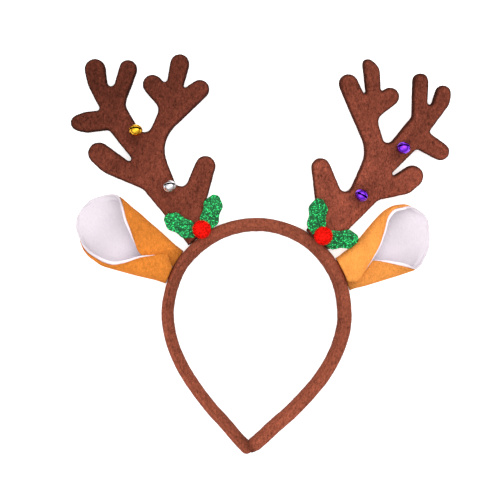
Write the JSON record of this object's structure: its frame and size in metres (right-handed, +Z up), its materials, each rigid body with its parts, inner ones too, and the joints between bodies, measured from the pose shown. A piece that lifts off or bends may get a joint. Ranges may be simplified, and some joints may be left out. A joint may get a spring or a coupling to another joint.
{
  "type": "reindeer antler headband",
  "caption": "Teardrop headband hoop of padded brown felt with branched felt antlers, rolled lined ears, glittered holly leaves, pompom berries and small jingle bells.",
  "frame": {"origin": "on the surface the headband lies on, under the middle of the hoop's tube at the crown", "axes": "+Z up from that surface, towards the side with the bells; +Y from the hoop's open tips to its crown; +X to the right of who looks at that side with the antlers up"},
  "size_m": [0.2453, 0.2594, 0.0259],
  "materials": {
    "hoop_felt": "napped felt",
    "antler_felt": "napped felt",
    "ear_felt": "napped felt",
    "lining_felt": "napped felt",
    "glitter_felt": "felt under glitter",
    "wool": "cut wool",
    "gold_metal": "polished",
    "silver_metal": "polished",
    "purple_metal": "clear coloured lacquer over polished metal",
    "pellet_metal": "plain"
  },
  "bodies": {
    "root": {"band": "hoop_felt", "antler_left": "antler_felt", "antler_right": "antler_felt", "ear_outer_left": "ear_felt", "ear_outer_right": "ear_felt", "ear_lining_left": "lining_felt", "ear_lining_right": "lining_felt", "holly_leaf_left_low": "glitter_felt", "holly_leaf_left_high": "glitter_felt", "holly_leaf_right_low": "glitter_felt", "holly_leaf_right_high": "glitter_felt", "berry_left": "wool", "berry_right": "wool", "bell_gold": "gold_metal", "bell_silver": "silver_metal", "bell_purple_high": "purple_metal", "bell_purple_low": "purple_metal", "pellet_gold": "pellet_metal", "pellet_silver": "pellet_metal", "pellet_purple_high": "pellet_metal", "pellet_purple_low": "pellet_metal"}
  },
  "joints": []
}
